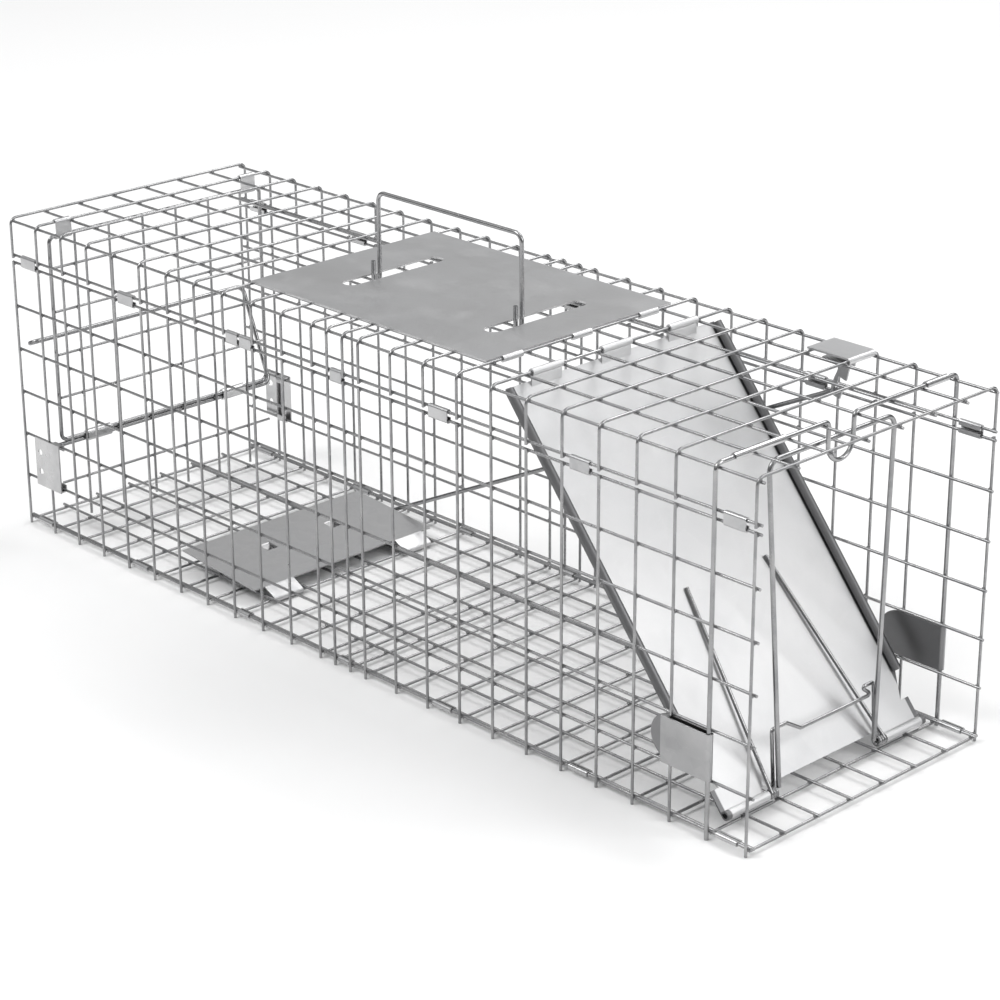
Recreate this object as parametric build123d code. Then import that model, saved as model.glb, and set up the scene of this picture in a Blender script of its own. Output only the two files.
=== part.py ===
from build123d import *
import math
import os

# Live catch trap: a welded wire cage with a drop door at +X, a trigger pan and a rear door.
# Millimetres. Origin at the middle of the footprint, on the ground. +X points to the drop door,
# +Z up. Cross wires run along Y, long wires along X.

# ---- driving dimensions ----
mesh_pitch = 25.4  # distance between long wires, and between most cross wires
cells_wide = 7  # cells across the cage
columns_rear = 12  # whole cells from the rear edge to the middle cross wire
columns_front = 11  # whole cells from the last middle half cell to the door edge
row_pitch = 27.5  # height of one wall row
wall_rows = 6  # rows in a side wall
seam_gap = 4.7  # between the wall's top wire and the roof skirt's lower wire
skirt_depth = 23.3  # from the skirt's lower wire up to the roof's cross wires
wire_d = 1.6  # mesh wire
frame_d = 2.4  # thick front frame wire
weld_gap = 0.02  # between two wires welded at a crossing
wire_overhang = 2.5  # how far long wires stand out past the end cross wires
roof_bend = 4.0  # bend radius at the roof's long edges
foot_clearance = 1.7  # below the floor's cross wires
wall_offset = 1.1  # wall wires stand this far outside the whole number of cells

# running clearances
hinge_clearance = 0.2  # a rolled sheet knuckle on its wire
slide_clearance = 0.3  # between two bodies that pass each other
wrap_gap = 0.1  # a folded clip round its wires

# clips
clip_t = 0.6
clip_flat = 0.15  # half of the flat between a clip's two bends
clip_mouth = 1.6

# handle and its plate
plate_t = 1.0
plate_first_column = 8.0
plate_last_column = 15.5
plate_side_gap = 21.0  # from the plate's side to the outside of the wall
plate_tab_width = 14.0
handle_d = 2.5
handle_leg_columns = (9.65, 14.15)
handle_height = 49.5  # grip wire above the roof wires
handle_bend = 5.0
handle_stub = 11.0  # hooked end above the roof wires
slot_length = 72.5
slot_width = 10.0
handle_wire_row = -0.5  # cells from the middle to the long wire that carries the handle

# front frame
frame_column = 22.5
dip_half_width = 9.5
dip_depth = 22.0
sleeve_t = 0.7
sleeve_spans = ((-3.08, -1.68), (2.54, 3.22))  # in cells from the middle
tab_t = 0.8
tab_margin = 0.35  # between a lock tab and the wall wires above and below it
tab_outer_reach = 30.0
tab_inner_reach = 27.0

# rear side plates
side_plate_t = 0.8
side_plate_columns = (0.48, 1.46)
side_plate_hook_columns = (1.12, 1.42)
side_plate_hole_r = 2.0
side_plate_hole_column = 0.68

# drop door
door_column = 16.5
foot_lead = 0.2  # tubes at the door's foot, ahead of the front frame's wire
door_t = 1.0
foot_rise = 3.85  # and above the floor's long wires
door_side_gap = 8.7  # from the wall's long wires
door_drop = 4.5  # the sheet lies this far below the hinge axis
door_start = 3.0  # from the hinge axis to the sheet's top edge
door_roll_r = 2.1  # middle radius of the rolled side edges
door_roll_start = 4.2
door_roll_margin = 29.0  # from the end of the rolled edges to the door's foot
knuckle_width = 21.5
foot_tube_r = 2.0  # middle radius of the rolled tubes
foot_tube_margin = 2.5  # from the tube's outer end to the door's side
foot_tube_width = 31.5
door_swing = 40.0

# door spring
spring_d = 2.0
coil_r = 1.9
coil_turns = 3
arm_length = 112.0
arm_lean = 14.0  # each arm leans this far towards the middle
bridge_height = 33.0
bridge_drop = 6.6  # middle of the bridge below its ends
bridge_step = 11.0  # from the near corner to the drop
bridge_kink = 9.0  # depth of the kink beside the far corner

# lock bar
bar_d = 2.6
bar_setback = 4.6  # the top of the bar stands this far behind the front frame
bar_top_drop = 12.0  # top of the bar below the front frame's top
bar_spring_gap = 0.35  # between a foot of the bar and the spring's coil
bar_spread = 10.0  # the top of each leg stands this far outside its foot
bar_bend = 6.0
bar_foot_rise = 1.7  # above the middle of the foot tubes

# trigger pan and rod
pan_column = 8.0  # floor wire that the pan hinges on
pan_t = 0.9
pan_length = 68.0
pan_rod_gap = 2.3  # between the pan's side and the trigger rod's bend
pan_edge_gap = 7.6  # from the hinge wire back to the pan's front edge
pan_edge_rise = 5.5  # pan's front edge above the hinge wire
pan_rise = 0.073  # slope of the pan at rest
pan_roll_wrap = 200.0
rod_d = 2.6
rod_column = 6.1
rod_arm_clearance = 0.4
rod_arm_near_y = -32.0
rod_bend_gap = 15.6  # from the wall's long wires to the rod's bend
rod_top_gap = 4.6  # and to the top of its run
lance_t = 0.8
lance_width = 8.0
lance_rows = (-1.0, 1.0)

# latch
latch_column = 20.0
latch_drop = 5.2  # hook pivot below the roof's cross wires
latch_wire_column = 20.5
latch_t = 1.0
hook_lever = 19.6  # from the hook's pivot to its eye
hook_set_angle = 3.0  # eye behind the pivot's plumb line when set
hook_swing = 15.65  # from set to released
hook_top_r = 2.7
hook_lip = 2.0  # past the stud's centre
hook_t = 1.1
hook_door_gap = 0.4  # between the hook and the door's rolled edge
pin_r = 1.2
pin_head_r = 2.2
pin_head_t = 0.7
rod_eye_r = 2.1
bracket_row = 2.56  # inner edge of the latch strap, in cells from the middle
bracket_hook_gap = 0.4  # the outer edge of its lower leaf from the hook
bracket_wall_gap = 3.4  # the outer edge of its top from the wall's upright wires
bracket_roll = 215.0  # degrees that its top is rolled round the wire
stud_r = 1.5
stud_reach = 3.0
stud_slack = 0.4
stud_lead = 0.4  # catch stud ahead of the hook's pivot when the trap is set

# rear door
rear_column = 1.0
rear_hang = 8.6  # the rear door's top wire below its hinge wire
rear_frame_d = 2.4
rear_side_gap = 7.7  # from the wall's long wires to the frame wire
rear_corner = 4.0
rear_foot_gap = 2.0
rear_sleeve_gap = 0.8  # from the outermost upright
rear_sleeve_width = 11.0
strip_t = 0.8
bail_d = 2.8
bail_side_step = 3.0  # wider than the door's frame
bail_row = 2
bail_reach_z = 60.0
bail_reach_x = 24.6
bail_curl = 7.0
bail_sleeve_gap = 0.6  # from the outermost upright
bail_sleeve_width = 18.0

# ---- worked out from them ----
wire_r = wire_d / 2
frame_r = frame_d / 2
layer = wire_d + weld_gap  # between the centres of two crossing mesh wires

column_list = [float(c) for c in range(columns_rear)]
column_list += [columns_rear - 0.5, float(columns_rear), columns_rear + 0.5]
column_list += [columns_rear + 0.5 + c for c in range(1, columns_front + 1)]
cells_long = column_list[-1]

half_length = cells_long * mesh_pitch / 2
wall_y = cells_wide * mesh_pitch / 2 + wall_offset  # upright wires, outside
rail_y = wall_y - layer  # long wires of the wall, inside
floor_cross_z = foot_clearance + wire_r
floor_long_z = floor_cross_z + layer
seam_low_z = floor_long_z + wall_rows * row_pitch
seam_high_z = seam_low_z + seam_gap
roof_z = seam_high_z + skirt_depth
roof_long_z = roof_z - layer
frame_top_z = roof_long_z + wire_r + weld_gap + frame_r
frame_y = rail_y + wire_r + weld_gap + frame_r
clip_off = wire_r + wrap_gap + clip_t / 2
clip_bend = clip_off - clip_flat
floor_edge_y = rail_y - wire_d - wrap_gap
plate_half_width = wall_y - plate_side_gap
door_half_width = rail_y - door_side_gap
foot_tube_outer_y = door_half_width - foot_tube_margin
foot_tube_inner_y = foot_tube_outer_y - foot_tube_width
rod_bend_y = rail_y - rod_bend_gap
rod_top_y = rail_y - rod_top_gap
pan_half_width = rod_bend_y - rod_d / 2 - pan_rod_gap
hook_y = door_half_width + door_t / 2 + hook_door_gap + hook_t / 2
bracket_outer_y = hook_y - hook_t / 2 - bracket_hook_gap
rear_half_width = rail_y - rear_side_gap
bail_half_width = rear_half_width + bail_side_step
bar_top_z = frame_top_z - bar_top_drop


def col_x(column):
    """X of a cross wire column, counted in cells from the rear edge."""
    return column * mesh_pitch - half_length


def row_y(row):
    """Y of a long wire, counted in cells from the middle."""
    return row * mesh_pitch


def row_z(row):
    """Z of a wall wire, counted in rows from the bottom one."""
    return floor_long_z + row * row_pitch


long_rows = [k - (cells_wide / 2 - 1) for k in range(cells_wide - 1)]
upright_y = row_y(long_rows[-1])  # outermost long wire, and the rear door's outermost upright
bracket_inner_y = row_y(bracket_row)
rear_sleeve_inner_y = upright_y + wire_r + rear_sleeve_gap
bail_sleeve_outer_y = upright_y - wire_r - bail_sleeve_gap

written = []


def save(name, solids):
    """Write one sub-part as STEP."""
    flat = []
    for item in solids:
        flat += item.solids()
    export_step(Compound(children=flat), "parts/" + name + ".step")
    written.append((name, len(flat)))


def rod_between(a, b, radius):
    """A straight round wire from a to b."""
    start, end = Vector(*a), Vector(*b)
    span = end - start
    return Solid.make_cylinder(radius, span.length, Plane(origin=start, z_dir=span))


def bent_wire(points, radius, bends):
    """A round wire along straight runs joined by bends."""
    path = FilletPolyline(*points, radius=bends)
    return sweep(Plane(origin=path @ 0, z_dir=path % 0) * Circle(radius), path)


def strip_along(path, width, thick, width_dir):
    """A flat strip swept along its middle line."""
    face = Plane(origin=path @ 0, x_dir=width_dir, z_dir=path % 0) * Rectangle(width, thick)
    return sweep(face, path)


def arc_xz(x, y, z, radius, start, swing):
    """An arc in an XZ plane. Angles in degrees from +X towards +Z."""
    def at(angle):
        a = math.radians(angle)
        return (x + radius * math.cos(a), y, z + radius * math.sin(a))

    return ThreePointArc(at(start), at(start + swing / 2), at(start + swing))


def arc_yz(x, y, z, radius, start, swing):
    """An arc in a YZ plane. Angles in degrees from +Y towards +Z."""
    def at(angle):
        a = math.radians(angle)
        return (x, y + radius * math.cos(a), z + radius * math.sin(a))

    return ThreePointArc(at(start), at(start + swing / 2), at(start + swing))


def block(x0, x1, y0, y1, z0, z1):
    """A box from its two corners."""
    size = (x1 - x0, y1 - y0, z1 - z0)
    return Pos((x0 + x1) / 2, (y0 + y1) / 2, (z0 + z1) / 2) * Box(*size)


def along_y(sketch, y0, y1):
    """Extrude a sketch drawn in (x, z) from y0 to y1."""
    plane = Plane(origin=(0, y1, 0), x_dir=(1, 0, 0), z_dir=(0, -1, 0))
    return extrude(plane * sketch, amount=y1 - y0)


# ---- cage ----
def roof_panel():
    wires = []
    for column in column_list:
        if column == frame_column:
            continue
        x = col_x(column)
        low = seam_high_z - wire_r - 0.6
        points = [(x, -wall_y, low), (x, -wall_y, roof_z), (x, wall_y, roof_z), (x, wall_y, low)]
        wires.append(bent_wire(points, wire_r, roof_bend))
    ends = half_length + wire_overhang
    for row in long_rows:
        y = row_y(row)
        wires.append(rod_between((-ends, y, roof_long_z), (ends, y, roof_long_z), wire_r))
    inside = (roof_bend - layer) / math.sqrt(2)
    for side in (-1, 1):
        y = side * (wall_y - roof_bend + inside)
        z = roof_z - roof_bend + inside
        wires.append(rod_between((-ends, y, z), (ends, y, z), wire_r))
        y = side * rail_y
        wires.append(rod_between((-ends, y, seam_high_z), (ends, y, seam_high_z), wire_r))
    return wires


def side_panel(side):
    wires = []
    top = seam_low_z + wire_r + 0.4
    for column in column_list:
        if column == frame_column:
            continue
        x = col_x(column)
        wires.append(rod_between((x, side * wall_y, 0), (x, side * wall_y, top), wire_r))
    ends = half_length + wire_overhang
    for row in range(wall_rows + 1):
        a = (-ends, side * rail_y, row_z(row))
        b = (ends, side * rail_y, row_z(row))
        wires.append(rod_between(a, b, wire_r))
    return wires


def floor_panel():
    wires = []
    reach = floor_edge_y + wire_r
    for column in column_list:
        x = col_x(column)
        wires.append(rod_between((x, -reach, floor_cross_z), (x, reach, floor_cross_z), wire_r))
    ends = half_length + wire_overhang
    lines = [row_y(row) for row in long_rows] + [-floor_edge_y, floor_edge_y]
    for y in lines:
        wires.append(rod_between((-ends, y, floor_long_z), (ends, y, floor_long_z), wire_r))
    return wires


clip_columns = [(0.3, 0.86), (4.12, 4.68), (8.07, 8.46), (8.54, 8.93), (11.57, 11.93)]
clip_columns += [(14.64, 15.2), (18.7, 19.22), (22.7, 23.24)]


def seam_clips(side):
    """Folded clips that join the wall's top wire to the skirt's lower wire."""
    clips = []
    y_in, y_out = side * (rail_y - clip_off), side * (rail_y + clip_off)
    z_low, z_high = seam_low_z - clip_off, seam_high_z + clip_off
    middle = (seam_low_z + seam_high_z) / 2
    for first, last in clip_columns:
        x = (col_x(first) + col_x(last)) / 2
        points = [
            (x, y_in, middle + clip_mouth / 2),
            (x, y_in, z_high),
            (x, y_out, z_high),
            (x, y_out, z_low),
            (x, y_in, z_low),
            (x, y_in, middle - clip_mouth / 2),
        ]
        path = FilletPolyline(*points, radius=clip_bend)
        clips.append(strip_along(path, col_x(last) - col_x(first), clip_t, (1, 0, 0)))
    return clips


def floor_clips(side):
    """Folded clips that join the wall's bottom wire to the floor's edge wire."""
    clips = []
    y_in, y_out = side * (floor_edge_y - clip_off), side * (rail_y + clip_off)
    z_low, z_high = floor_long_z - clip_off, floor_long_z + clip_off
    middle = side * (floor_edge_y + rail_y) / 2
    for first, last in clip_columns:
        if first == clip_columns[3][0]:
            continue
        x = (col_x(first) + col_x(last)) / 2
        points = [
            (x, middle + side * clip_mouth / 4, z_high),
            (x, y_out, z_high),
            (x, y_out, z_low),
            (x, y_in, z_low),
            (x, y_in, z_high),
            (x, middle - side * clip_mouth / 4, z_high),
        ]
        path = FilletPolyline(*points, radius=clip_bend)
        clips.append(strip_along(path, col_x(last) - col_x(first), clip_t, (1, 0, 0)))
    return clips


# ---- handle ----
wrap_r = wire_r + 0.05 + plate_t / 2  # middle radius of plate tabs round a roof wire


def handle_guard_plate():
    x0, x1 = col_x(plate_first_column), col_x(plate_last_column)
    z0 = roof_z + wrap_r - plate_t / 2
    plate = block(x0, x1, -plate_half_width, plate_half_width, z0, z0 + plate_t)
    for column in handle_leg_columns:
        slot = Rot(0, 0, 90) * SlotOverall(slot_length, slot_width)
        plate -= Pos(col_x(column), 0, z0 - 1) * extrude(slot, amount=plate_t + 2)
    for x, side in ((x0, -1), (x1, 1)):
        for row in (-2, 0, 2):
            y = row_y(row)
            lead = Line((x - side * 4, y, roof_z + wrap_r), (x, y, roof_z + wrap_r))
            roll = arc_xz(x, y, roof_z, wrap_r, 90, -side * 205)
            path = Wire([lead, roll])
            plate += strip_along(path, plate_tab_width, plate_t, (0, 1, 0))
    return [plate]


handle_r = handle_d / 2
handle_y = row_y(handle_wire_row)
handle_hook_r = wire_r + slide_clearance + handle_r


def carry_handle():
    x0, x1 = (col_x(c) for c in handle_leg_columns)
    leg_y, stub_y = handle_y + handle_hook_r, handle_y - handle_hook_r
    top = roof_z + handle_height
    pieces = []
    for x in (x0, x1):
        stub = Line((x, stub_y, roof_z + handle_stub), (x, stub_y, roof_long_z))
        hook = arc_yz(x, handle_y, roof_long_z, handle_hook_r, 180, 180)
        path = Wire([stub, hook])
        pieces.append(sweep(Plane(origin=path @ 0, z_dir=path % 0) * Circle(handle_r), path))
    points = [(x0, leg_y, roof_long_z), (x0, leg_y, top), (x1, leg_y, top), (x1, leg_y, roof_long_z)]
    grip = bent_wire(points, handle_r, handle_bend)
    for piece in pieces:
        grip += piece
    return [grip]


# ---- front frame ----
def front_frame():
    x = col_x(frame_column)
    low = frame_top_z - dip_depth
    half = dip_half_width
    points = [
        (x, -frame_y, 0),
        (x, -frame_y, frame_top_z),
        (x, -half, frame_top_z),
        (x, -half, low),
        (x, half, low),
        (x, half, frame_top_z),
        (x, frame_y, frame_top_z),
        (x, frame_y, 0),
    ]
    bottom_bend = half - 0.1
    bends = [roof_bend, 3.0, bottom_bend, bottom_bend, 3.0, roof_bend]
    return [bent_wire(points, frame_r, bends)]


def front_frame_sleeves():
    x = col_x(frame_column)
    radius = frame_r + wrap_gap + sleeve_t / 2
    sleeves = []
    for first, last in sleeve_spans:
        y0, y1 = row_y(first), row_y(last)
        path = arc_xz(x, (y0 + y1) / 2, frame_top_z, radius, -30, 240)
        sleeves.append(strip_along(path, y1 - y0, sleeve_t, (0, 1, 0)))
    return sleeves


def front_lock_tab(side):
    """Sheet folded round the front frame's leg, with a half-round inner leaf."""
    x = col_x(frame_column)
    radius = frame_r + 0.15 + tab_t / 2
    z0, z1 = row_z(1) + wire_r + tab_margin, row_z(2) - wire_r - tab_margin
    z = (z0 + z1) / 2
    y = side * frame_y
    outer = Line((x - tab_outer_reach, y + side * radius, z), (x, y + side * radius, z))
    turn = ThreePointArc((x, y + side * radius, z), (x + radius, y, z), (x, y - side * radius, z))
    inner = Line((x, y - side * radius, z), (x - tab_inner_reach, y - side * radius, z))
    tab = strip_along(Wire([outer, turn, inner]), z1 - z0, tab_t, (0, 0, 1))
    centre = Plane(origin=(x - tab_inner_reach, y - side * radius, z), z_dir=(0, 1, 0))
    tab += centre * Cylinder((z1 - z0) / 2, tab_t)
    return [tab]


def rear_side_plate(side):
    """Plate on two wall wires, with two holes and two hooks folded over the wires."""
    x0, x1 = (col_x(c) for c in side_plate_columns)
    off = wire_r + 0.15 + side_plate_t / 2
    y = side * (wall_y + off)
    z0, z1 = row_z(1) - off, row_z(2) + off
    y0, y1 = sorted((y - side_plate_t / 2, y + side_plate_t / 2))
    plate = block(x0, x1, y0, y1, z0 - 0.4, z1 + 0.4)
    for row in (1.28, 1.74):
        hole = Plane(origin=(col_x(side_plate_hole_column), y, row_z(row)), z_dir=(0, 1, 0))
        plate -= hole * Cylinder(side_plate_hole_r, 4)
    h0, h1 = (col_x(c) for c in side_plate_hook_columns)
    x = (h0 + h1) / 2
    y_in = side * (rail_y - off)
    for edge, turn in ((z1, -1), (z0, 1)):
        points = [
            (x, y, edge + turn * 5),
            (x, y, edge),
            (x, y_in, edge),
            (x, y_in, edge + turn * 4),
        ]
        path = FilletPolyline(*points, radius=0.9)
        plate += strip_along(path, h1 - h0, side_plate_t, (1, 0, 0))
    return [plate]


# ---- latch ----
latch_x = col_x(latch_column)
latch_z = roof_z - latch_drop


def latch_bracket():
    """Strap over the roof, rolled round a cross wire, with an ear for the hook."""
    x_wire = col_x(latch_wire_column)
    x_back = col_x(latch_wire_column - 1) - 1.5
    radius = wire_r + 0.05 + latch_t / 2
    wide_y = wall_y - bracket_wall_gap
    y = (bracket_inner_y + wide_y) / 2
    top = Line((x_back, y, roof_z + radius), (x_wire, y, roof_z + radius))
    turn = arc_xz(x_wire, y, roof_z, radius, 90, -bracket_roll)
    bracket = strip_along(Wire([top, turn]), wide_y - bracket_inner_y, latch_t, (0, 1, 0))
    y = (bracket_inner_y + bracket_outer_y) / 2
    under = Line((x_wire, y, roof_z - radius), (latch_x - 4, y, roof_z - radius))
    bracket += strip_along(under, bracket_outer_y - bracket_inner_y, latch_t, (0, 1, 0))
    ear_y = hook_y + hook_t / 2 + slide_clearance
    leaf_z = roof_z - radius
    leaf = block(latch_x - 4, latch_x + 4, bracket_outer_y - 0.5, ear_y + latch_t,
                 leaf_z - latch_t / 2, leaf_z + latch_t / 2)
    ear = block(latch_x - 4, latch_x + 4, ear_y, ear_y + latch_t, latch_z - 3.4, leaf_z)
    hole = Plane(origin=(latch_x, ear_y, latch_z), z_dir=(0, 1, 0)) * Cylinder(pin_r + 0.05, 6)
    return [bracket + leaf + (ear - hole)]


def latch_pin():
    ear_y = hook_y + hook_t / 2 + slide_clearance
    y0 = hook_y - hook_t / 2 - 0.15
    y1 = ear_y + latch_t + 0.05
    shaft = rod_between((latch_x, y0, latch_z), (latch_x, y1, latch_z), pin_r)
    inner = rod_between((latch_x, y0 - pin_head_t, latch_z), (latch_x, y0, latch_z), pin_head_r)
    outer = rod_between((latch_x, y1, latch_z), (latch_x, y1 + pin_head_t, latch_z), pin_head_r)
    return [Part() + shaft + inner + outer]


# ---- drop door, built lying along +X from its hinge and then turned down ----
hinge_x = col_x(door_column)
door_mid_z = -door_drop - door_t / 2
tube_z = door_mid_z + foot_tube_r
foot_x = col_x(frame_column) + foot_lead
foot_z = floor_long_z + foot_rise
foot_away, foot_below = foot_x - hinge_x, roof_z - foot_z
door_length = math.sqrt(foot_away**2 + foot_below**2 - tube_z**2)  # hinge to the foot tubes
door_slope = math.degrees(math.atan2(foot_below, foot_away) + math.atan2(tube_z, door_length))
door_roll_end = door_length - door_roll_margin
door_open_slope = door_slope - door_swing


def place_door(shape, slope=door_slope):
    """Turn a shape drawn along the door to its place in the cage."""
    return Pos(hinge_x, 0, roof_z) * Rot(0, slope, 0) * shape


def door_panel():
    edge = door_half_width - door_roll_r
    corner = 26.0
    outline = [
        (door_start, -edge),
        (door_roll_end, -edge),
        (door_length, -edge + corner / 2),
        (door_length, edge - corner / 2),
        (door_roll_end, edge),
        (door_start, edge),
    ]
    sheet = Pos(0, 0, -door_drop - door_t) * extrude(make_face(Polyline(*outline, close=True)), amount=door_t)
    cut = block(door_length - 5, door_length + 5, -foot_tube_inner_y, foot_tube_inner_y, -20, 5)
    sheet -= cut
    roll_x = (door_roll_start + door_roll_end) / 2
    roll_length = door_roll_end - door_roll_start
    for side in (-1, 1):
        lead = Line((roll_x, side * (edge - 3), door_mid_z), (roll_x, side * edge, door_mid_z))
        start = -90
        roll = arc_yz(roll_x, side * edge, door_mid_z + door_roll_r, door_roll_r, start, side * 285)
        sheet += strip_along(Wire([lead, roll]), roll_length, door_t, (1, 0, 0))
    knuckle_r = wire_r + hinge_clearance + door_t / 2
    for row in (-2, 0, 2):
        y = row_y(row)
        roll = arc_xz(0, y, 0, knuckle_r, 0, 270)
        lead = FilletPolyline(
            (0, y, -knuckle_r),
            (2.0, y, -knuckle_r),
            (6.0, y, door_mid_z),
            (door_start + 8, y, door_mid_z),
            radius=1.6,
        )
        sheet += strip_along(Wire([roll] + lead.edges()), knuckle_width, door_t, (0, 1, 0))
    for side in (-1, 1):
        y = side * (foot_tube_inner_y + foot_tube_outer_y) / 2
        lead = Line((door_length - 14, y, door_mid_z), (door_length, y, door_mid_z))
        roll = arc_xz(door_length, y, tube_z, foot_tube_r, -90, 300)
        width = foot_tube_outer_y - foot_tube_inner_y
        sheet += strip_along(Wire([lead, roll]), width, door_t, (0, 1, 0))
    stud_y = door_half_width + door_t / 2
    stud = rod_between((stud_along, stud_y - 0.8, stud_up),
                       (stud_along, stud_y + stud_reach, stud_up), stud_r)
    sheet += stud
    return [place_door(sheet)]


spring_r = spring_d / 2
coil_pitch = spring_d + 0.05
coil_inner = foot_tube_inner_y - 0.6 - coil_turns * coil_pitch
arm_low_y = foot_tube_inner_y - spring_r - 0.5
arm_high_y = arm_low_y - arm_lean


def door_spring():
    """Two coils beside the foot tubes, a long arm on each, and the wire that joins them."""
    pieces = []
    for side in (-1, 1):
        for turn in range(coil_turns):
            y = side * (coil_inner + (turn + 0.5) * coil_pitch)
            ring = Plane(origin=(foot_x, y, foot_z), z_dir=(0, 1, 0)) * Torus(coil_r, spring_r)
            pieces.append(ring)
        arm_z = -door_drop + spring_r + 0.1
        low = (door_length - coil_r - spring_r - 0.1, side * arm_low_y, arm_z)
        high = (door_length - arm_length, side * arm_high_y, arm_z)
        pieces.append(place_door(Part() + rod_between(low, high, spring_r)))
    back = foot_x - coil_r - spring_r - 1.1
    side_y = coil_inner + 0.6
    top = foot_z + bridge_height
    start = (foot_x - coil_r, foot_z + coil_r + spring_r)
    low = top - bridge_drop
    points = [
        (start[0], -side_y, start[1]),
        (back, -side_y, top),
        (back, -side_y + bridge_step, top),
        (back, -side_y + 2 * bridge_step, low),
        (back, side_y - 1, low),
        (back, side_y - 1 - bridge_kink, top),
        (back, side_y, top),
        (start[0], side_y, start[1]),
    ]
    bends = [1.8, 1.6, 1.6, 1.1, 1.1, 1.8]
    pieces.append(bent_wire(points, spring_r, bends))
    return pieces


# ---- lock bar ----
bar_r = bar_d / 2
bar_x = col_x(frame_column) - bar_setback
bar_low_y = coil_inner - bar_spring_gap - bar_r
bar_top_y = bar_low_y + bar_spread
bar_foot_z = foot_z + bar_foot_rise


def lock_bar():
    points = [
        (foot_x, -bar_low_y, bar_foot_z),
        (bar_x, -bar_top_y, bar_top_z),
        (bar_x, bar_top_y, bar_top_z),
        (foot_x, bar_low_y, bar_foot_z),
    ]
    return [bent_wire(points, bar_r, bar_bend)]


# ---- trigger pan and rod ----
pan_x = col_x(pan_column)
rod_r = rod_d / 2
rod_x = col_x(rod_column)
rod_arm_z = floor_long_z + wire_r + rod_arm_clearance + rod_r


def pan_mid_z(x):
    """Middle of the pan's sheet above a point, at rest."""
    return floor_cross_z + pan_edge_rise + pan_rise * (pan_x - pan_edge_gap - x)


def trigger_pan():
    x1 = pan_x - pan_edge_gap
    x0 = x1 - pan_length
    half = pan_half_width
    slope = math.degrees(math.atan(pan_rise))
    plate = Pos(x1, 0, pan_mid_z(x1)) * Rot(0, slope, 0) * block(-pan_length, 0, -half, half, -pan_t / 2, pan_t / 2)
    hole_z = pan_mid_z(rod_x)
    for row in lance_rows:
        y = row_y(row)
        w = lance_width / 2
        plate -= block(rod_x - 4.6, rod_x + 4.6, y - w, y + w, hole_z - 3, hole_z + 3)
        u = rod_r + hinge_clearance + lance_t / 2
        rise = hole_z - rod_arm_z
        points = [
            (rod_x - 6.5, y, pan_mid_z(rod_x - 6.5)),
            (rod_x - 4.2, y, pan_mid_z(rod_x - 4.2)),
            (rod_x - u, y, rod_arm_z + rise * 0.3),
            (rod_x - u, y, rod_arm_z - u),
            (rod_x + u, y, rod_arm_z - u),
            (rod_x + u, y, rod_arm_z + rise * 0.3),
            (rod_x + 4.2, y, pan_mid_z(rod_x + 4.2)),
            (rod_x + 6.5, y, pan_mid_z(rod_x + 6.5)),
        ]
        path = FilletPolyline(*points, radius=[0.8, 0.8, u - 0.1, u - 0.1, 0.8, 0.8])
        plate += strip_along(path, lance_width - 1, lance_t, (0, 1, 0))
    roll_r = wire_r + hinge_clearance + pan_t / 2
    edge = (x1, pan_mid_z(x1))
    dx, dz = edge[0] - pan_x, edge[1] - floor_cross_z
    reach = math.hypot(dx, dz)
    touch = math.degrees(math.atan2(dz, dx) - math.acos(roll_r / reach))
    touch_a = math.radians(touch)
    tangent = (pan_x + roll_r * math.cos(touch_a), floor_cross_z + roll_r * math.sin(touch_a))
    for row in (-2, 2):
        y = row_y(row)
        lead = FilletPolyline(
            (x1 - 10, y, pan_mid_z(x1 - 10)),
            (edge[0], y, edge[1]),
            (tangent[0], y, tangent[1]),
            radius=4.0,
        )
        roll = arc_xz(pan_x, y, floor_cross_z, roll_r, touch, -pan_roll_wrap)
        plate += strip_along(Wire(lead.edges() + [roll]), knuckle_width, pan_t, (0, 1, 0))
    return [plate]


stud_up = door_mid_z + door_roll_r  # the stud's middle, in the door's own frame
stud_turn = math.radians(door_open_slope)
stud_along = (latch_x + stud_lead - hinge_x - stud_up * math.sin(stud_turn)) / math.cos(stud_turn)

hook_rest_a = math.radians(hook_set_angle + hook_swing)
rod_tip_x = latch_x - hook_lever * math.sin(hook_rest_a)
rod_tip_z = latch_z - hook_lever * math.cos(hook_rest_a)


def trigger_rod():
    """One wire: an arm under the pan, the long run up the wall, and a bent tip in the hook."""
    points = [
        (rod_x, rod_arm_near_y, rod_arm_z),
        (rod_x, rod_bend_y, rod_arm_z),
        (rod_tip_x, rod_top_y, rod_tip_z),
        (rod_tip_x, hook_y - hook_t / 2 - 0.3, rod_tip_z),
    ]
    return [bent_wire(points, rod_r, [4.0, 1.7])]


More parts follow.
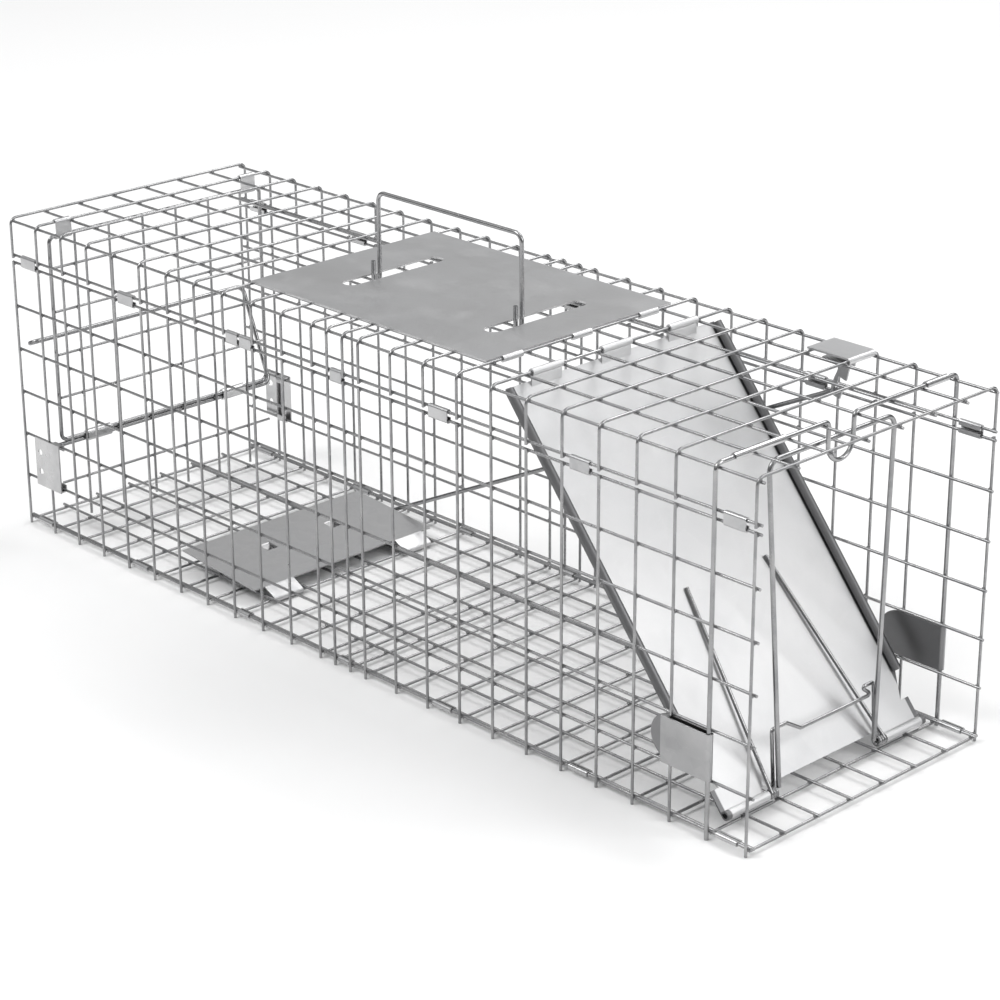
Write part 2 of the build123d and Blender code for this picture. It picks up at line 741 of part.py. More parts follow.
def latch_hook():
    """Plate that carries the door's stud, drawn set and turned back to its released rest."""
    stud_x = stud_lead
    stud_z = roof_z - stud_along * math.sin(stud_turn) + stud_up * math.cos(stud_turn) - latch_z
    under = stud_z - stud_r - stud_slack
    eye_a = math.radians(hook_set_angle)
    eye = (-hook_lever * math.sin(eye_a), -hook_lever * math.cos(eye_a))
    shoulder = stud_z + stud_r + 0.8
    inner = stud_x - stud_r - 1.0
    lip = stud_x + hook_lip
    outline = [
        (-hook_top_r, 0),
        (hook_top_r, 0),
        (lip + 0.6, shoulder + 3.0),
        (lip + 0.6, shoulder),
        (inner, shoulder),
        (inner, under),
        (lip, under),
        (lip, under - 1.6),
        (eye[0] + rod_eye_r + 1.2, eye[1] - rod_eye_r - 1.8),
        (eye[0] - rod_eye_r - 1.2, eye[1] - rod_eye_r - 1.8),
        (eye[0] - rod_eye_r - 2.0, eye[1] + 2.0),
    ]
    shape = make_face(Polyline(*outline, close=True)) + Circle(hook_top_r)
    shape -= Circle(pin_r + 0.12)
    shape -= Pos(*eye) * Circle(rod_eye_r)
    plate = along_y(shape, -hook_t / 2, hook_t / 2)
    return [Pos(latch_x, hook_y, latch_z) * Rot(0, hook_swing, 0) * plate]


# ---- rear door and its bail ----
rear_x = col_x(rear_column)
rear_top_z = roof_z - rear_hang
rear_low_z = row_z(bail_row)
rear_foot_z = floor_long_z + wire_r + rear_foot_gap
rear_r = rear_frame_d / 2
rear_mesh_x = rear_x + rear_r + wire_r + weld_gap
bail_r = bail_d / 2
bail_x = rear_mesh_x - wire_r - bail_r - hinge_clearance
bail_z = rear_low_z - rear_r - bail_r - hinge_clearance


def rear_door_frame():
    """Thick wire bent over the top and down both sides, then across at the bail's height."""
    w = rear_half_width
    points = [
        (rear_x, 0, rear_low_z),
        (rear_x, -w, rear_low_z),
        (rear_x, -w, rear_top_z),
        (rear_x, w, rear_top_z),
        (rear_x, w, rear_low_z),
        (rear_x, weld_gap, rear_low_z),
    ]
    return [bent_wire(points, rear_r, rear_corner)]


def rear_door_mesh():
    """Uprights inside the frame, from its top to the floor, and the wires across them."""
    wires = []
    z1 = rear_top_z + rear_r
    for row in long_rows:
        y = row_y(row)
        wires.append(rod_between((rear_mesh_x, y, rear_foot_z), (rear_mesh_x, y, z1), wire_r))
    x = rear_mesh_x - layer
    for row in range(1, wall_rows + 1):
        if row == bail_row:
            continue
        reach = rear_half_width + rear_r
        if row > bail_row:
            reach = rear_half_width - rear_r - weld_gap
        wires.append(rod_between((x, -reach, row_z(row)), (x, reach, row_z(row)), wire_r))
    return wires


def rear_hinge_sleeves():
    """Strips rolled round the roof wire above and the rear door's top wire below."""
    sleeves = []
    roll_r = wire_r + hinge_clearance + strip_t / 2
    grip_r = rear_r + 0.05 + strip_t / 2
    for side in (-1, 1):
        y = side * (rear_sleeve_inner_y + rear_sleeve_width / 2)
        points = [
            (rear_x - roll_r, y, roof_z - 0.3),
            (rear_x - roll_r, y, roof_z + roll_r),
            (rear_x + roll_r, y, roof_z + roll_r),
            (rear_x + roll_r, y, roof_z - 3.0),
            (rear_x + grip_r, y, rear_top_z + 2.5),
            (rear_x + grip_r, y, rear_top_z - grip_r),
            (rear_x - grip_r, y, rear_top_z - grip_r),
            (rear_x - grip_r, y, rear_top_z + 0.3),
        ]
        bends = [roll_r - 0.05, roll_r - 0.05, 0.8, 0.8, grip_r - 0.05, grip_r - 0.05]
        path = FilletPolyline(*points, radius=bends)
        sleeves.append(strip_along(path, rear_sleeve_width, strip_t, (0, 1, 0)))
    return sleeves


def bail_sleeves():
    """Rolled sleeves that hold the bail's axle under the rear frame's lower wire."""
    sleeves = []
    x0 = bail_x - bail_r - hinge_clearance
    x1 = rear_x + rear_r + 0.1
    z0 = bail_z - bail_r - hinge_clearance
    z1 = rear_low_z + rear_r + 0.1
    centre = ((x0 + x1) / 2, (z0 + z1) / 2)
    bend = (x1 - x0) / 2 - 0.1
    inner = Pos(*centre) * RectangleRounded(x1 - x0, z1 - z0, bend)
    outer = Pos(*centre) * RectangleRounded(x1 - x0 + 2 * strip_t, z1 - z0 + 2 * strip_t, bend + strip_t)
    for side in (-1, 1):
        y0, y1 = sorted((side * bail_sleeve_outer_y, side * (bail_sleeve_outer_y - bail_sleeve_width)))
        sleeves.append(along_y(outer - inner, y0, y1))
    return sleeves


def rear_bail():
    """Swinging bail: axle in the sleeves, an arm on the far side, and a bar with a curled end."""
    w = bail_half_width
    far = (bail_x - bail_reach_x, bail_z + bail_reach_z)
    points = [
        (bail_x, -w, bail_z),
        (bail_x, w, bail_z),
        (far[0], w, far[1]),
        (far[0], -w, far[1]),
        (far[0] + bail_curl, -w, far[1] + 3.0),
        (far[0] + bail_curl, -w + bail_curl, far[1] + 3.0),
    ]
    return [bent_wire(points, bail_r, [5.0, 5.0, 3.0, 3.0])]


os.makedirs("parts", exist_ok=True)
save("roof_panel", roof_panel())
save("floor_panel", floor_panel())
save("handle_guard_plate", handle_guard_plate())
save("carry_handle", carry_handle())
save("front_frame", front_frame())
save("front_frame_sleeves", front_frame_sleeves())
save("latch_bracket", latch_bracket())
save("latch_pin", latch_pin())
save("latch_hook", latch_hook())
save("drop_door", door_panel())
save("door_spring", door_spring())
save("lock_bar", lock_bar())
save("trigger_pan", trigger_pan())
save("trigger_rod", trigger_rod())
save("rear_door_frame", rear_door_frame())
save("rear_door_mesh", rear_door_mesh())
save("rear_hinge_sleeves", rear_hinge_sleeves())
save("rear_bail_sleeves", bail_sleeves())
save("rear_bail", rear_bail())
for word, side in (("near", -1), ("far", 1)):
    save(word + "_side_panel", side_panel(side))
    save(word + "_seam_clips", seam_clips(side))
    save(word + "_floor_clips", floor_clips(side))
    save(word + "_lock_tab", front_lock_tab(side))
    save(word + "_rear_plate", rear_side_plate(side))
for name, count in written:
    print(name, count)
print("hinge", hinge_x, roof_z, "foot", (foot_x, foot_z), "frame x", col_x(frame_column))
print("bar pivot", bar_x, bar_top_z, "pan", pan_x, floor_cross_z, "rod", rod_x, rod_arm_z)
print("latch", latch_x, hook_y, latch_z, "rear", rear_x, roof_z, "bail", bail_x, bail_z)
print("handle", handle_y, roof_long_z, "grip z", roof_z + handle_height)
print("ends", col_x(0), col_x(cells_long), "wall", wall_y)
print("handle x", col_x(handle_leg_columns[0]), col_x(handle_leg_columns[1]))
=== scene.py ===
import math

import bmesh
import bpy
from mathutils import Matrix, Vector


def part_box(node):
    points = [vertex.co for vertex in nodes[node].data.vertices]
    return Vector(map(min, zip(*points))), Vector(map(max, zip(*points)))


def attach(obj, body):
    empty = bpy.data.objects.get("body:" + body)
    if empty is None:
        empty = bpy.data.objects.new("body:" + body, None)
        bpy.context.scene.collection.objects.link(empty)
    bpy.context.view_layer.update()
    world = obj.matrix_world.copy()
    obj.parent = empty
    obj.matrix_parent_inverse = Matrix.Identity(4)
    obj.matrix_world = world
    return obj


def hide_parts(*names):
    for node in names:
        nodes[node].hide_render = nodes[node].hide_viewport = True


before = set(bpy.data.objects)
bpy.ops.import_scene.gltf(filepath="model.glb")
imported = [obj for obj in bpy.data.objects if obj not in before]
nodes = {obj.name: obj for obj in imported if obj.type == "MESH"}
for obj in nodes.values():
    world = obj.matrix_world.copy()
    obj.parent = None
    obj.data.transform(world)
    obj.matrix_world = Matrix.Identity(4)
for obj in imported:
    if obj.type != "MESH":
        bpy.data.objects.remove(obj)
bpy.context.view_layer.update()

MM = 0.001

# ---------------------------------------------------------------- node helpers

FLOAT, VECTOR = "NodeSocketFloat", "NodeSocketVector"
MIX_A, MIX_B, MIX_RESULT = 6, 7, 2  # the Mix node's colour sockets


class Tree:
    """Short names for building a node tree."""

    def __init__(self, tree):
        self.tree = tree

    def add(self, kind, **settings):
        node = self.tree.nodes.new(kind)
        for name, value in settings.items():
            setattr(node, name, value)
        return node

    def feed(self, value, socket):
        if isinstance(value, bpy.types.NodeSocket):
            self.tree.links.new(value, socket)
        else:
            socket.default_value = value

    def math(self, operation, a, b=0.0, clamp=False):
        node = self.add("ShaderNodeMath", operation=operation, use_clamp=clamp)
        self.feed(a, node.inputs[0])
        self.feed(b, node.inputs[1])
        return node.outputs[0]

    def mix(self, share, a, b):
        """Blend two colours."""
        node = self.add("ShaderNodeMix", data_type="RGBA")
        self.feed(share, node.inputs[0])
        self.feed(a, node.inputs[MIX_A])
        self.feed(b, node.inputs[MIX_B])
        return node.outputs[MIX_RESULT]

    def span(self, value, low, high, to_low=0.0, to_high=1.0):
        """Map a value from one range to another, clamped."""
        node = self.add("ShaderNodeMapRange")
        for socket, item in zip(node.inputs, (value, low, high, to_low, to_high)):
            self.feed(item, socket)
        return node.outputs[0]

    def noise(self, place, scale, detail=2.0, roughness=0.5):
        node = self.add("ShaderNodeTexNoise")
        self.feed(place, node.inputs["Vector"])
        self.feed(scale, node.inputs["Scale"])
        node.inputs["Detail"].default_value = detail
        node.inputs["Roughness"].default_value = roughness
        return node.outputs["Fac"]

    def streaks(self, place, scale):
        """Noise drawn out into marks along the axis with the smallest scale."""
        node = self.add("ShaderNodeMapping")
        self.feed(place, node.inputs["Vector"])
        node.inputs["Scale"].default_value = scale
        return self.noise(node.outputs["Vector"], 1.0, detail=3.0, roughness=0.7)


def make_group(name, inputs, outputs):
    """A shader node group with named sockets, and its Tree, input and output nodes."""
    group = bpy.data.node_groups.new(name, "ShaderNodeTree")
    for label, kind, value in inputs:
        socket = group.interface.new_socket(label, in_out="INPUT", socket_type=kind)
        if value is not None:
            socket.default_value = value
    for label in outputs:
        group.interface.new_socket(label, in_out="OUTPUT", socket_type=FLOAT)
    tree = Tree(group)
    return group, tree, tree.add("NodeGroupInput"), tree.add("NodeGroupOutput")


def place_group(t, group, place, **values):
    node = t.add("ShaderNodeGroup")
    node.node_tree = group
    t.feed(place, node.inputs["Place"])
    for label, value in values.items():
        node.inputs[label].default_value = value
    return node


# ---------------------------------------------------------------- zinc finishes

CRYSTAL_WARP = 0.006
GRAIN_SHARE = 0.25
PATCH_SHARE = 0.75
TOOTH_DEPTH = 0.05 * MM
CRYSTAL_RELIEF = 0.4
SMUDGE_SHARE, SMUDGE_TONE, SMUDGE_DULLING = 0.35, 0.86, 0.08
SCUFF_SHARE, SCUFF_TONE, SCUFF_POLISH = 0.5, 1.18, 0.06
LIGHTEST = 0.95


def zinc_bloom_group():
    """Crystals of a hot-dip zinc coat, with dull bloom between them and fine tooth."""
    group, t, given, out = make_group(
        "zinc_bloom",
        [
            ("Place", VECTOR, None),
            ("Crystals", FLOAT, 110.0),
            ("Bloom", FLOAT, 14.0),
            ("Tooth", FLOAT, 1400.0),
        ],
        ["Crystal", "Patch", "Grain"],
    )
    place = given.outputs["Place"]
    warp = t.add("ShaderNodeTexNoise")
    t.feed(place, warp.inputs["Vector"])
    warp.inputs["Scale"].default_value = 60.0
    bent = t.add("ShaderNodeVectorMath", operation="MULTIPLY_ADD")
    t.feed(warp.outputs["Color"], bent.inputs[0])
    bent.inputs[1].default_value = (CRYSTAL_WARP, CRYSTAL_WARP, CRYSTAL_WARP)
    t.feed(place, bent.inputs[2])
    cells = t.add("ShaderNodeTexVoronoi", feature="F1")
    t.feed(bent.outputs[0], cells.inputs["Vector"])
    t.feed(given.outputs["Crystals"], cells.inputs["Scale"])
    shade = t.add("ShaderNodeSeparateColor")
    t.feed(cells.outputs["Color"], shade.inputs[0])
    t.feed(shade.outputs[0], out.inputs["Crystal"])
    patch = t.noise(place, given.outputs["Bloom"], detail=4.0, roughness=0.6)
    t.feed(t.span(patch, low=0.35, high=0.68), out.inputs["Patch"])
    t.feed(t.noise(place, given.outputs["Tooth"]), out.inputs["Grain"])
    return group


def handling_group():
    """Rub marks and smudges left by hands, tools and stacking."""
    group, t, given, out = make_group(
        "handling",
        [("Place", VECTOR, None), ("Rub", FLOAT, 1.0)],
        ["Smudge", "Scuff"],
    )
    place, rub = given.outputs["Place"], given.outputs["Rub"]
    smudge = t.span(t.noise(place, 38.0, detail=3.0, roughness=0.55), low=0.5, high=0.72)
    t.feed(t.math("MULTIPLY", smudge, rub), out.inputs["Smudge"])
    along = t.span(t.streaks(place, (60.0, 900.0, 900.0)), low=0.66, high=0.74)
    across = t.span(t.streaks(place, (1100.0, 70.0, 1100.0)), low=0.67, high=0.75)
    marks = t.math("MAXIMUM", along, across)
    t.feed(t.math("MULTIPLY", marks, rub), out.inputs["Scuff"])
    return group


ZINC_BLOOM = zinc_bloom_group()
HANDLING = handling_group()


def grey(level, warmth=0.0):
    """A grey, with a trace of blue added."""
    return (level + warmth * 0.5, level, level - warmth * 0.5 + 0.004, 1.0)


def start_material(name):
    material = bpy.data.materials.new(name)
    material.use_nodes = True
    t = Tree(material.node_tree)
    shader = material.node_tree.nodes["Principled BSDF"]
    place = t.add("ShaderNodeTexCoord").outputs["Object"]
    return material, t, shader, place


def paint_shade_by_side(t, place, colour, light_at, dark_at, share, level):
    """Paints shade into the colour: darkens what lies beyond a distance from the middle, or nearer
    if dark_at is less.
    """
    split = t.add("ShaderNodeSeparateXYZ")
    t.feed(place, split.inputs[0])
    side = t.math("ABSOLUTE", split.outputs["Y"])
    # painted shade: how much of the dark grey is mixed in, by distance from the middle
    painted_shade_mask = t.math("MULTIPLY", t.span(side, light_at, dark_at), share)
    return t.mix(painted_shade_mask, colour, grey(level))


def galvanised(name, dark, light, rough, crystals, crystal_share, tooth, bump,
               rub=1.0, bloom=14.0, painted_shade=None):
    """Zinc-coated steel. dark and light bound its grey, rough its roughness; the last argument,
    if given, goes to the helper that paints shade into the colour by distance from the middle."""
    material, t, shader, place = start_material(name)
    zinc = place_group(t, ZINC_BLOOM, place, Crystals=crystals, Bloom=bloom, Tooth=1.0 / tooth)
    hands = place_group(t, HANDLING, place, Rub=rub)
    smudge, scuff = hands.outputs["Smudge"], hands.outputs["Scuff"]

    crystal = t.math("MULTIPLY", zinc.outputs["Crystal"], crystal_share)
    patch = t.math("MULTIPLY", zinc.outputs["Patch"], PATCH_SHARE - crystal_share * 0.5)
    grain = t.math("MULTIPLY", zinc.outputs["Grain"], GRAIN_SHARE)
    tone = t.math("ADD", t.math("ADD", crystal, patch), grain, clamp=True)

    colour = t.mix(tone, grey(dark, warmth=-0.006), grey(light, warmth=0.004))
    colour = t.mix(t.math("MULTIPLY", smudge, SMUDGE_SHARE), colour, grey(dark * SMUDGE_TONE))
    scuffed = grey(min(light * SCUFF_TONE, LIGHTEST))
    colour = t.mix(t.math("MULTIPLY", scuff, SCUFF_SHARE), colour, scuffed)
    # painted shade, laid into the colour by distance from the middle where the last argument asks
    # for it
    if painted_shade:
        colour = paint_shade_by_side(t, place, colour, **painted_shade)
    t.feed(colour, shader.inputs["Base Color"])

    smooth, dull = rough
    level = t.span(tone, 0.0, 1.0, to_low=dull, to_high=smooth)
    level = t.math("ADD", level, t.math("MULTIPLY", smudge, SMUDGE_DULLING))
    level = t.math("SUBTRACT", level, t.math("MULTIPLY", scuff, SCUFF_POLISH))
    t.feed(level, shader.inputs["Roughness"])
    shader.inputs["Metallic"].default_value = 1.0

    height = t.add("ShaderNodeBump")
    height.inputs["Strength"].default_value = bump
    height.inputs["Distance"].default_value = TOOTH_DEPTH
    raised = t.math("MULTIPLY", zinc.outputs["Crystal"], CRYSTAL_RELIEF)
    t.feed(t.math("ADD", zinc.outputs["Grain"], raised), height.inputs["Height"])
    t.feed(height.outputs["Normal"], shader.inputs["Normal"])
    return material


DOOR_ROLL = 9.2 * MM  # the rolled edge, in from the door's widest point
# widths over which the painted shade fades in, on the door's rolled edges and the tabs' inner
# leaves
ROLL_FADE = 0.6 * MM
TAB_FADE = 0.4 * MM

roll_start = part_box("drop_door")[1][1] - DOOR_ROLL
leg_y = abs(sum(corner[1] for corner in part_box("near_lock_tab")) / 2)

MESH_WIRE = galvanised(
    "mesh_wire_zinc", dark=0.24, light=0.42, rough=(0.2, 0.34), crystals=420.0,
    crystal_share=0.15, tooth=0.5 * MM, bump=0.35, rub=0.8, bloom=45.0,
)
THICK_WIRE = galvanised(
    "thick_wire_zinc", dark=0.25, light=0.42, rough=(0.16, 0.28), crystals=380.0,
    crystal_share=0.12, tooth=0.6 * MM, bump=0.3, rub=0.9, bloom=40.0,
)
PLATE = galvanised(
    "plate_zinc", dark=0.58, light=0.66, rough=(0.36, 0.46), crystals=120.0,
    crystal_share=0.3, tooth=0.8 * MM, bump=0.25,
)
PAN = galvanised(
    "pan_zinc", dark=0.5, light=0.6, rough=(0.36, 0.48), crystals=130.0,
    crystal_share=0.3, tooth=0.8 * MM, bump=0.3, rub=1.3,
)
CLIP = galvanised(
    "clip_zinc", dark=0.42, light=0.58, rough=(0.24, 0.38), crystals=260.0,
    crystal_share=0.2, tooth=0.6 * MM, bump=0.25,
)
BRIGHT = galvanised(
    "bright_steel", dark=0.42, light=0.6, rough=(0.16, 0.26), crystals=300.0,
    crystal_share=0.1, tooth=0.5 * MM, bump=0.2,
)
WELD = galvanised(
    "weld_zinc", dark=0.16, light=0.3, rough=(0.34, 0.5), crystals=900.0,
    crystal_share=0.2, tooth=0.3 * MM, bump=0.5,
)
TAB = galvanised(
    "tab_zinc", dark=0.36, light=0.46, rough=(0.3, 0.42), crystals=150.0,
    crystal_share=0.25, tooth=0.7 * MM, bump=0.25,
    # painted shade on the inner leaf, which lies nearer the middle than the leg that the tab is
    # folded round
    painted_shade=dict(light_at=leg_y, dark_at=leg_y - TAB_FADE, share=0.8, level=0.2),
)
DOOR = galvanised(
    "door_zinc", dark=0.62, light=0.7, rough=(0.44, 0.56), crystals=60.0,
    crystal_share=0.12, tooth=0.9 * MM, bump=0.12, rub=0.5, bloom=9.0,
    # painted shade on the door's rolled edges, darker than the flat sheet
    painted_shade=dict(light_at=roll_start, dark_at=roll_start + ROLL_FADE, share=0.92, level=0.16),
)

LOOKS = {
    "roof_panel": MESH_WIRE,
    "near_side_panel": MESH_WIRE,
    "far_side_panel": MESH_WIRE,
    "floor_panel": MESH_WIRE,
    "rear_door_mesh": MESH_WIRE,
    "near_seam_clips": CLIP,
    "far_seam_clips": CLIP,
    "near_floor_clips": CLIP,
    "far_floor_clips": CLIP,
    "handle_guard_plate": PLATE,
    "front_frame": THICK_WIRE,
    "front_frame_sleeves": BRIGHT,
    "near_lock_tab": TAB,
    "far_lock_tab": TAB,
    "near_rear_plate": CLIP,
    "far_rear_plate": CLIP,
    "latch_bracket": PLATE,
    "latch_pin": BRIGHT,
    "latch_hook": CLIP,
    "drop_door": DOOR,
    "lock_bar": THICK_WIRE,
    "trigger_pan": PAN,
    "trigger_rod": THICK_WIRE,
    "carry_handle": THICK_WIRE,
    "rear_door_frame": THICK_WIRE,
    "rear_hinge_sleeves": CLIP,
    "rear_bail_sleeves": BRIGHT,
    "rear_bail": THICK_WIRE,
}
for node_name, look in LOOKS.items():
    materials = nodes[node_name].data.materials
    materials.clear()
    materials.append(look)


def add_piece(name, shape, look, body):
    """Turns a finished bmesh into a piece that rides on a body."""
    mesh = bpy.data.meshes.new(name)
    shape.to_mesh(mesh)
    shape.free()
    mesh.materials.append(look)
    piece = bpy.data.objects.new(name, mesh)
    bpy.context.scene.collection.objects.link(piece)
    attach(piece, body)
    return piece


# ---------------------------------------------------------------- weld nuggets at the crossings

PITCH = 25.4 * MM
WIRE = 1.6 * MM
LAYER = WIRE + 0.02 * MM  # one wire laid across another
ROOF_BEND = 4.0 * MM
ROW = 27.5 * MM
SEAM_GAP = 4.7 * MM  # from the walls' top wire up to the roof skirt's lower wire
WALL_ROWS = 6
FRAME_COLUMN = 22.5  # the front frame stands here in place of a cross wire
# cross wires in cells from the rear, with two cells halved about the middle
COLUMNS = [float(c) for c in range(12)] + [11.5, 12.0, 12.5] + [13.5 + c for c in range(11)]
LONG_ROWS = [(k - 2.5) * PITCH for k in range(6)]
REAR_BARE_ROWS = (0, 2)  # no wire crosses the rear door at its foot, or where the bail lies

NUGGET_RADIUS = 1.42 * MM
NUGGET_HEIGHT = 0.66 * MM
NUGGET_SWELL = 0.13
SWELL_STEP = 12.9898  # makes the swelling look unordered from one nugget to the next
NUGGET_TURN = 1.7

wall_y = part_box("far_side_panel")[1][1] - WIRE / 2
roof_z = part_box("roof_panel")[1][2] - WIRE / 2
floor_low, floor_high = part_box("floor_panel")
floor_z = floor_low[2] + WIRE / 2
floor_edge_y = floor_high[1] - WIRE / 2
first_row_z = floor_z + LAYER
seam_z = first_row_z + WALL_ROWS * ROW + SEAM_GAP


def column_x(column):
    return (column - COLUMNS[-1] / 2) * PITCH


def one_nugget():
    nugget = bpy.data.meshes.new("nugget")
    shape = bmesh.new()
    bmesh.ops.create_uvsphere(shape, u_segments=8, v_segments=5, radius=1.0)
    for face in shape.faces:
        face.smooth = True
    shape.to_mesh(nugget)
    shape.free()
    return nugget


def weld_nuggets(name, body, places, normal):
    """Small flattened blobs of squeezed-out metal where two wires are welded across each other."""
    nugget = one_nugget()
    shape = bmesh.new()
    lay = Vector(normal).to_track_quat("Z", "Y").to_matrix().to_4x4()
    for number, place in enumerate(places):
        swell = 1.0 + NUGGET_SWELL * math.sin(number * SWELL_STEP)
        size = Matrix.Diagonal((NUGGET_RADIUS * swell, NUGGET_RADIUS, NUGGET_HEIGHT, 1.0))
        spin = Matrix.Rotation(number * NUGGET_TURN, 4, "Z")
        put = Matrix.Translation(place) @ lay @ spin @ size
        nugget.transform(put)
        shape.from_mesh(nugget)
        nugget.transform(put.inverted())
    bpy.data.meshes.remove(nugget)
    add_piece(name, shape, WELD, body)


def crossings(xs, ys, zs):
    return [Vector((x, y, z)) for x in xs for y in ys for z in zs]


cage_x = [column_x(c) for c in COLUMNS if c != FRAME_COLUMN]
row_heights = [first_row_z + k * ROW for k in range(WALL_ROWS + 1)]
corner_in = ROOF_BEND - (ROOF_BEND - LAYER / 2) / math.sqrt(2)
for word, side in (("near", -1), ("far", 1)):
    wall = crossings(cage_x, [side * (wall_y - LAYER / 2)], row_heights + [seam_z])
    weld_nuggets(word + "_wall_welds", "cage", wall, (0, 1, 0))
    corner = crossings(cage_x, [side * (wall_y - corner_in)], [roof_z - corner_in])
    weld_nuggets(word + "_corner_welds", "cage", corner, (0, side, 1))
roof = crossings(cage_x, LONG_ROWS, [roof_z - LAYER / 2])
weld_nuggets("roof_welds", "cage", roof, (0, 0, 1))
floor_lines = LONG_ROWS + [-floor_edge_y, floor_edge_y]
floor_joins = crossings([column_x(c) for c in COLUMNS], floor_lines, [floor_z + LAYER / 2])
weld_nuggets("floor_welds", "cage", floor_joins, (0, 0, 1))
rear_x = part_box("rear_door_mesh")[1][0] - WIRE / 2 - LAYER / 2
rear_rows = [z for k, z in enumerate(row_heights) if k not in REAR_BARE_ROWS]
weld_nuggets("rear_door_welds", "rear_door", crossings([rear_x], LONG_ROWS, rear_rows), (1, 0, 0))


# ---------------------------------------------------------------- the wound door spring

SPRING_RADIUS = 1.0 * MM  # of its wire
COIL_RADIUS = 1.9 * MM  # to the middle of the wire
RING_HEIGHT = 7.0 * MM  # a part of the plain spring lower than this is one of its rings
MERGE = 0.002 * MM
EXTRA_TURNS = 2
TURN_STEPS = 20
WIRE_SIDES = 12
SHARP = math.radians(40)


def loose_parts(shape):
    """The separate wires of a merged mesh, as lists of vertices."""
    seen, parts = set(), []
    for first in shape.verts:
        if first in seen:
            continue
        seen.add(first)
        part, waiting = [], [first]
        while waiting:
            vert = waiting.pop()
            part.append(vert)
            for link in vert.link_edges:
                other = link.other_vert(vert)
                if other not in seen:
                    seen.add(other)
                    waiting.append(other)
        parts.append(part)
    return parts


def middle(points):
    return sum(points, Vector()) / len(points)


def extent(points, axis):
    values = [point[axis] for point in points]
    return min(values), max(values)


def split_spring(shape):
    """Keeps the bridge in the mesh, and returns the points of the bridge, rings and arms."""
    bridge, rings, arms, drop = [], [], [], []
    for part in loose_parts(shape):
        points = [vert.co.copy() for vert in part]
        low_y, high_y = extent(points, 1)
        low_z, high_z = extent(points, 2)
        if low_y < 0 < high_y:
            bridge = points
            continue
        drop += part
        (rings if high_z - low_z < RING_HEIGHT else arms).append(points)
    bmesh.ops.delete(shape, geom=drop, context="VERTS")
    return bridge, rings, arms


def verts_of(items):
    return [item for item in items if isinstance(item, bmesh.types.BMVert)]


def edges_of(items):
    return [item for item in items if isinstance(item, bmesh.types.BMEdge)]


def draw_out(shape, edges, move):
    """Extrudes a wire's open end by a move, and returns the new end's vertices and edges."""
    grown = bmesh.ops.extrude_edge_only(shape, edges=edges)["geom"]
    ring = verts_of(grown)
    bmesh.ops.translate(shape, verts=ring, vec=move)
    return ring, [edge for edge in edges_of(grown) if all(vert in ring for vert in edge.verts)]


def wind_coil(shape, side, start, foot, low_y, tip):
    """Runs the wire down from the bridge, winds it outwards round the foot and out to the tip."""
    made = bmesh.ops.create_circle(
        shape, segments=WIRE_SIDES, radius=SPRING_RADIUS, matrix=Matrix.Translation(start),
    )["verts"]
    edges = list(dict.fromkeys(edge for vert in made for edge in vert.link_edges))
    ring, edges = draw_out(shape, edges, (0, 0, foot.z - start.z))
    away = tip - foot
    turn = math.pi + math.atan2(-away.x, away.z) + EXTRA_TURNS * math.tau
    steps = round(turn / math.tau * TURN_STEPS)
    wound = bmesh.ops.spin(
        shape, geom=ring + edges, cent=foot, axis=(0, 1, 0), angle=-turn, steps=steps,
        dvec=(0, side * (low_y - side * start.y) / steps, 0),
    )["geom_last"]
    centre = middle([vert.co for vert in verts_of(wound)])
    edges = draw_out(shape, edges_of(wound), tip - centre)[1]
    bmesh.ops.edgeloop_fill(shape, edges=edges)


def wound_spring():
    """Keeps the kinked bridge, and winds each coil down from it and out into its long arm."""
    shape = bmesh.new()
    shape.from_mesh(nodes["door_spring"].data)
    bmesh.ops.remove_doubles(shape, verts=shape.verts, dist=MERGE)
    bridge, rings, arms = split_spring(shape)
    foot = middle([middle(points) for points in rings])
    for side in (-1, 1):
        arm = next(points for points in arms if points[0].y * side > 0)
        reach = max((point - foot).length for point in arm)
        tip = middle([point for point in arm if (point - foot).length > reach - SPRING_RADIUS])
        low_y = max(point.y * side for point in arm) - SPRING_RADIUS
        start_y = max(point.y * side for point in bridge) - SPRING_RADIUS
        start_z = foot.z + COIL_RADIUS + SPRING_RADIUS
        start = Vector((foot.x - COIL_RADIUS, side * start_y, start_z))
        wind_coil(shape, side, start, foot, low_y, tip)
    bmesh.ops.recalc_face_normals(shape, faces=shape.faces)
    for face in shape.faces:
        face.smooth = True
    piece = add_piece("wound_door_spring", shape, THICK_WIRE, "drop_door")
    piece.data.set_sharp_from_angle(angle=SHARP)
    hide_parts("door_spring")


wound_spring()


# ---------------------------------------------------------------- camera, floor and light

CAMERA_TURNS = (46.443, 21.877, -0.266)  # azimuth, elevation and roll, in degrees
CAMERA_PLACE = (1.08807, -1.00373, 0.66968)
FLOOR_REACH = 30.0
HORIZON_SKY, HIGH_SKY = (0.16, 0.165, 0.17, 1.0), (1.0, 1.0, 1.0, 1.0)
SKY_STRENGTH = 0.85


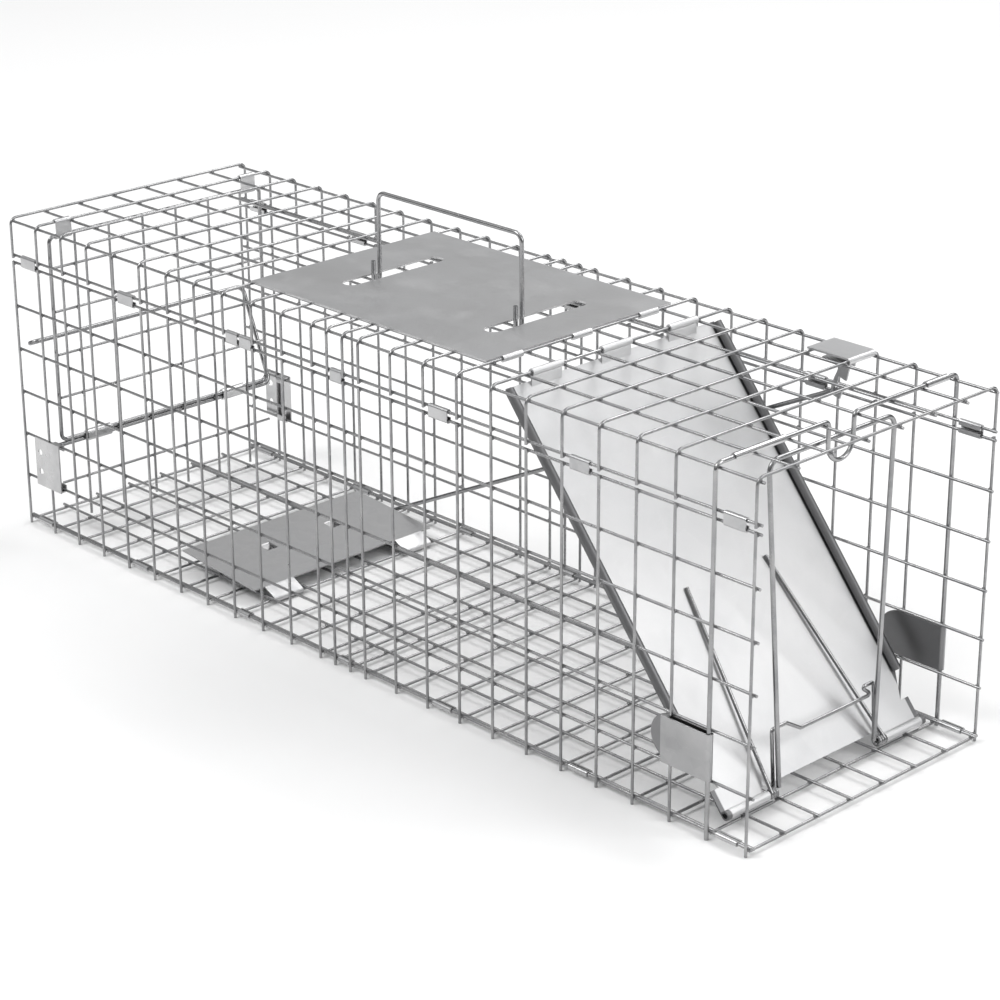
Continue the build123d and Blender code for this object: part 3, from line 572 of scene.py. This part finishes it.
def make_camera():
    """The camera stands to the door's right and looks down along the trap."""
    azimuth, elevation, roll = (math.radians(angle) for angle in CAMERA_TURNS)
    back = Vector((
        math.sin(azimuth) * math.cos(elevation),
        -math.cos(azimuth) * math.cos(elevation),
        math.sin(elevation),
    ))
    level = Vector((math.cos(azimuth), math.sin(azimuth), 0.0))
    rise = back.cross(level)
    right = level * math.cos(roll) + rise * math.sin(roll)
    up = rise * math.cos(roll) - level * math.sin(roll)
    data = bpy.data.cameras.new("camera")
    data.sensor_width = 36.0
    data.lens = 101.5
    camera = bpy.data.objects.new("camera", data)
    turn = Matrix((right, up, back)).transposed().to_4x4()
    camera.matrix_world = Matrix.Translation(CAMERA_PLACE) @ turn
    bpy.context.scene.collection.objects.link(camera)
    bpy.context.scene.camera = camera


def make_floor():
    mesh = bpy.data.meshes.new("floor")
    shape = bmesh.new()
    bmesh.ops.create_grid(shape, x_segments=1, y_segments=1, size=FLOOR_REACH)
    shape.to_mesh(mesh)
    shape.free()
    floor = bpy.data.objects.new("floor", mesh)
    bpy.context.scene.collection.objects.link(floor)
    material, t, shader, place = start_material("pale_floor")
    tint = t.mix(t.noise(place, 1.5), (0.9, 0.9, 0.9, 1.0), (0.92, 0.92, 0.92, 1.0))
    t.feed(tint, shader.inputs["Base Color"])
    shader.inputs["Roughness"].default_value = 0.75
    mesh.materials.append(material)


def make_lamp(name, place, aim, width, height, power):
    data = bpy.data.lights.new(name, "AREA")
    data.shape = "RECTANGLE"
    data.size, data.size_y = width, height
    data.energy = power
    lamp = bpy.data.objects.new(name, data)
    lamp.location = place
    lamp.rotation_mode = "QUATERNION"
    lamp.rotation_quaternion = (Vector(aim) - Vector(place)).to_track_quat("-Z", "Y")
    bpy.context.scene.collection.objects.link(lamp)


def make_world():
    world = bpy.data.worlds.new("studio")
    world.use_nodes = True
    t = Tree(world.node_tree)
    shader = world.node_tree.nodes["Background"]
    split = t.add("ShaderNodeSeparateXYZ")
    t.feed(t.add("ShaderNodeTexCoord").outputs["Generated"], split.inputs[0])
    rise = t.span(split.outputs["Z"], low=0.1, high=0.8)
    t.feed(t.mix(rise, HORIZON_SKY, HIGH_SKY), shader.inputs["Color"])
    shader.inputs["Strength"].default_value = SKY_STRENGTH
    bpy.context.scene.world = world


make_camera()
make_floor()
make_world()
make_lamp("key", place=(-0.9, -1.5, 2.2), aim=(0, 0, 0.1), width=1.4, height=1.0, power=32.0)
make_lamp("side", place=(2.0, 0.9, 1.3), aim=(0.1, 0, 0.1), width=1.0, height=1.2, power=18.0)
make_lamp("back", place=(-0.1, 1.9, 2.35), aim=(0, 0, 0.1), width=2.0, height=0.9, power=24.0)
bpy.context.scene.view_settings.view_transform = "Standard"
